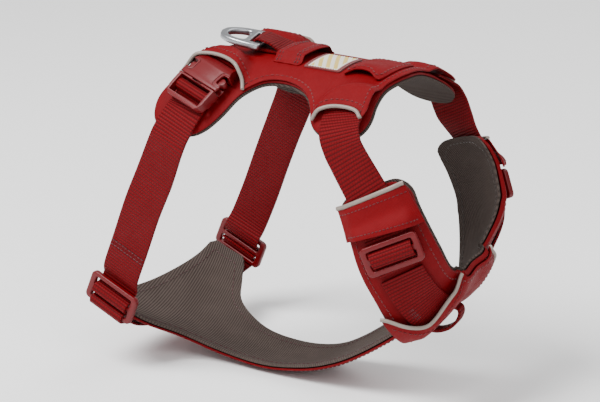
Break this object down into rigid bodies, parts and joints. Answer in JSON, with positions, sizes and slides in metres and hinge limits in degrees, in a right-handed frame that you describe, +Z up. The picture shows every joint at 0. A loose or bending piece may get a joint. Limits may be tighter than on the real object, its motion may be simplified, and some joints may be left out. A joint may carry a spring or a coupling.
{
  "type": "no pull dog harness",
  "caption": "Padded front-clip dog harness shown as worn: back saddle with leash ring, webbing girth and neck straps with buckles and sliders, belly panel and chest loop.",
  "frame": {"origin": "underside of the saddle lining, on the ridge of the back, at the middle of the saddle", "axes": "+X towards the dog's head, +Y to the dog's left, +Z up"},
  "size_m": [0.2302, 0.1336, 0.1965],
  "materials": {
    "lining_mesh": "open ribbed mesh",
    "pad_fabric": "matte polyester over foam",
    "saddle_fabric": "plain-weave polyester",
    "reflective_piping": "reflective piping",
    "forged_aluminium": "forged, satin",
    "tab_webbing": "nylon webbing",
    "ridge_fabric": "plain-weave polyester",
    "woven_label": "woven label",
    "belly_mesh": "ribbed mesh",
    "belly_fabric": "plain-weave polyester",
    "collar_mesh": "ribbed mesh",
    "collar_pad": "matte polyester over foam",
    "collar_fabric": "plain-weave polyester",
    "neck_webbing": "nylon webbing",
    "buckle_plastic": "satin moulded",
    "receiver_webbing": "nylon webbing",
    "slider_plastic": "satin moulded",
    "girth_webbing": "nylon webbing",
    "wing_webbing": "nylon webbing",
    "collar_piping": "reflective piping",
    "neck_slider_plastic": "satin moulded"
  },
  "bodies": {
    "harness": {"saddle_lining": "lining_mesh", "saddle_pad": "pad_fabric", "saddle_cover": "saddle_fabric", "piping_rear_left": "reflective_piping", "piping_rear_right": "reflective_piping", "piping_front_left": "reflective_piping", "piping_front_right": "reflective_piping", "ring_tab": "tab_webbing", "tab_band": "ridge_fabric", "woven_label": "woven_label", "belly_lining": "belly_mesh", "belly_shell": "belly_fabric", "chest_lining": "collar_mesh", "chest_pad": "collar_pad", "chest_cover": "collar_fabric", "front_loop": "neck_webbing", "buckle_receiver_left": "buckle_plastic", "receiver_tab_left": "receiver_webbing", "girth_slider_left": "slider_plastic", "girth_strap_left": "girth_webbing", "wing_loop_left": "wing_webbing", "shoulder_lining_left": "collar_mesh", "shoulder_pad_left": "collar_pad", "neck_strap_left": "neck_webbing", "pad_sleeve_left": "collar_fabric", "sleeve_piping_left": "collar_piping", "chest_webbing_left": "neck_webbing", "mouth_piping_left": "collar_piping", "buckle_receiver_right": "buckle_plastic", "receiver_tab_right": "receiver_webbing", "girth_slider_right": "slider_plastic", "girth_strap_right": "girth_webbing", "wing_loop_right": "wing_webbing", "shoulder_lining_right": "collar_mesh", "shoulder_pad_right": "collar_pad", "neck_strap_right": "neck_webbing", "pad_sleeve_right": "collar_fabric", "sleeve_piping_right": "collar_piping", "chest_webbing_right": "neck_webbing", "mouth_piping_right": "collar_piping"},
    "ring": {"leash_ring": "forged_aluminium"},
    "pocket_flap": {"tag_pocket_flap": "ridge_fabric"},
    "plug_left": {"buckle_plug_left": "buckle_plastic"},
    "prong_rear_left": {"prong_rear_left": "buckle_plastic"},
    "prong_front_left": {"prong_front_left": "buckle_plastic"},
    "slider_left": {"neck_slider_left": "neck_slider_plastic", "slider_bight_left": "neck_webbing"},
    "plug_right": {"buckle_plug_right": "buckle_plastic"},
    "prong_rear_right": {"prong_rear_right": "buckle_plastic"},
    "prong_front_right": {"prong_front_right": "buckle_plastic"},
    "slider_right": {"neck_slider_right": "neck_slider_plastic", "slider_bight_right": "neck_webbing"}
  },
  "joints": [
    {"name": "leash_ring_swing", "type": "hinge", "parent": "harness", "child": "ring", "pos_m": [-0.0385, -0.0025, 0.0092], "axis": [-0.342, 0.9397, 0], "range_deg": [0, 100]},
    {"name": "pocket_flap_open", "type": "hinge", "parent": "harness", "child": "pocket_flap", "pos_m": [0.039, 0.02133, 0.0032], "axis": [-1, 0, 0], "range_deg": [0, 90]},
    {"name": "buckle_release_left", "type": "hinge", "parent": "harness", "child": "plug_left", "pos_m": [-0.0497, -0.0049, -0.06832], "axis": [-0.9455, -0.2573, 0.1995], "range_deg": [0, 12], "deforming": ["girth_strap_left"]},
    {"name": "prong_squeeze_rear_left", "type": "hinge", "parent": "plug_left", "child": "prong_rear_left", "pos_m": [-0.06016, 0.04231, -0.0059], "axis": [0, 0.6129, 0.7902], "range_deg": [0, 7], "stiffness_Nm_per_rad": 0.02},
    {"name": "prong_squeeze_front_left", "type": "hinge", "parent": "plug_left", "child": "prong_front_left", "pos_m": [-0.04087, 0.04756, -0.00997], "axis": [0, -0.6129, -0.7902], "range_deg": [0, 7], "stiffness_Nm_per_rad": 0.02},
    {"name": "neck_slider_left", "type": "slide", "parent": "harness", "child": "slider_left", "axis": [0.3896, -0.1372, -0.9107], "range_m": [0, 0.008], "deforming": ["chest_webbing_left"]},
    {"name": "buckle_release_right", "type": "hinge", "parent": "harness", "child": "plug_right", "pos_m": [-0.0497, 0.0049, -0.06832], "axis": [0.9455, -0.2573, -0.1995], "range_deg": [0, 12], "deforming": ["girth_strap_right"]},
    {"name": "prong_squeeze_rear_right", "type": "hinge", "parent": "plug_right", "child": "prong_rear_right", "pos_m": [-0.06016, -0.04231, -0.0059], "axis": [0, 0.6129, -0.7902], "range_deg": [0, 7], "stiffness_Nm_per_rad": 0.02},
    {"name": "prong_squeeze_front_right", "type": "hinge", "parent": "plug_right", "child": "prong_front_right", "pos_m": [-0.04087, -0.04756, -0.00997], "axis": [0, -0.6129, 0.7902], "range_deg": [0, 7], "stiffness_Nm_per_rad": 0.02},
    {"name": "neck_slider_right", "type": "slide", "parent": "harness", "child": "slider_right", "axis": [0.3891, 0.1379, -0.9108], "range_m": [0, 0.008], "deforming": ["chest_webbing_right"]}
  ]
}
